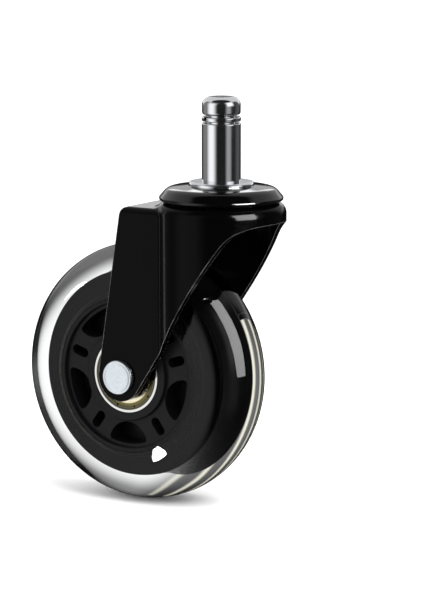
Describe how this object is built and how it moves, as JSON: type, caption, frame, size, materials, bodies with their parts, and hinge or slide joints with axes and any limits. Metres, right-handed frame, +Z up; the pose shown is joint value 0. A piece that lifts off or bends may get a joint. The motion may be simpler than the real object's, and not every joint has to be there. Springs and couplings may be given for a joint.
{
  "type": "chair caster wheel",
  "caption": "Swivel caster for an office chair: a clear-tyred ball-bearing wheel in a black pressed-steel fork under a plain grip-ring stem.",
  "frame": {"origin": "centre of the seat flange's top face on the stem's axis, where the chair leg's socket face rests", "axes": "+Z up along the stem; the wheel trails towards -X at rest; the axle runs along Y; left is +Y, right (the rivet's flat head) is -Y"},
  "size_m": [0.0815, 0.037, 0.1183],
  "materials": {
    "plated_steel": "bright nickel plate",
    "spring_steel": "bright spring steel",
    "black_enamel": "gloss black",
    "black_enamel_fork": "gloss black powder coat",
    "bearing_steel": "ground and polished steel",
    "bearing_balls": "mirror-polished steel",
    "shield_steel": "passivated sheet with a warm tint",
    "cage_nylon": "natural moulded nylon",
    "zinc_plate": "bluish zinc plate, satin",
    "black_nylon": "satin moulded black",
    "clear_urethane": "clear polyurethane, glossy"
  },
  "bodies": {
    "stem": {"stem": "plated_steel", "friction_ring": "spring_steel", "dust_cap": "black_enamel", "upper_race": "bearing_steel", "lower_race": "bearing_steel"},
    "fork": {"fork": "black_enamel_fork", "axle_rivet": "zinc_plate", "bearing_spacer": "plated_steel", "side_washer_left": "zinc_plate", "side_washer_right": "zinc_plate", "bearing_inner_ring_left": "bearing_steel", "bearing_inner_ring_right": "bearing_steel"},
    "wheel": {"wheel_hub": "black_nylon", "tyre": "clear_urethane", "bearing_outer_ring_left": "bearing_steel", "bearing_outer_ring_right": "bearing_steel", "outer_shield_left": "shield_steel", "outer_shield_right": "shield_steel", "inner_shield_left": "shield_steel", "inner_shield_right": "shield_steel"},
    "upper_ball_row": {"upper_balls": "bearing_balls"},
    "lower_ball_row": {"lower_balls": "bearing_balls"},
    "ball_set_left": {"bearing_balls_left": "bearing_balls", "bearing_cage_left": "cage_nylon"},
    "ball_set_right": {"bearing_balls_right": "bearing_balls", "bearing_cage_right": "cage_nylon"}
  },
  "joints": [
    {"name": "swivel", "type": "hinge", "parent": "stem", "child": "fork", "pos_m": [0, 0, -0.0069], "axis": [0, 0, 1], "continuous": true},
    {"name": "wheel_spin", "type": "hinge", "parent": "fork", "child": "wheel", "pos_m": [-0.0255, 0, -0.0568], "axis": [0, 1, 0], "continuous": true},
    {"name": "upper_balls_roll", "type": "hinge", "parent": "stem", "child": "upper_ball_row", "pos_m": [0, 0, -0.005], "axis": [0, 0, 1], "continuous": true},
    {"name": "lower_balls_roll", "type": "hinge", "parent": "stem", "child": "lower_ball_row", "pos_m": [0, 0, -0.0088], "axis": [0, 0, 1], "continuous": true},
    {"name": "left_balls_roll", "type": "hinge", "parent": "fork", "child": "ball_set_left", "pos_m": [-0.0255, 0.0075, -0.0568], "axis": [0, 1, 0], "continuous": true},
    {"name": "right_balls_roll", "type": "hinge", "parent": "fork", "child": "ball_set_right", "pos_m": [-0.0255, -0.0075, -0.0568], "axis": [0, 1, 0], "continuous": true}
  ],
  "couplings": [
    {"joint": "upper_balls_roll", "follows": "swivel", "ratio": 0.5},
    {"joint": "lower_balls_roll", "follows": "swivel", "ratio": 0.5},
    {"joint": "left_balls_roll", "follows": "wheel_spin", "ratio": 0.63227},
    {"joint": "right_balls_roll", "follows": "wheel_spin", "ratio": 0.63227}
  ]
}
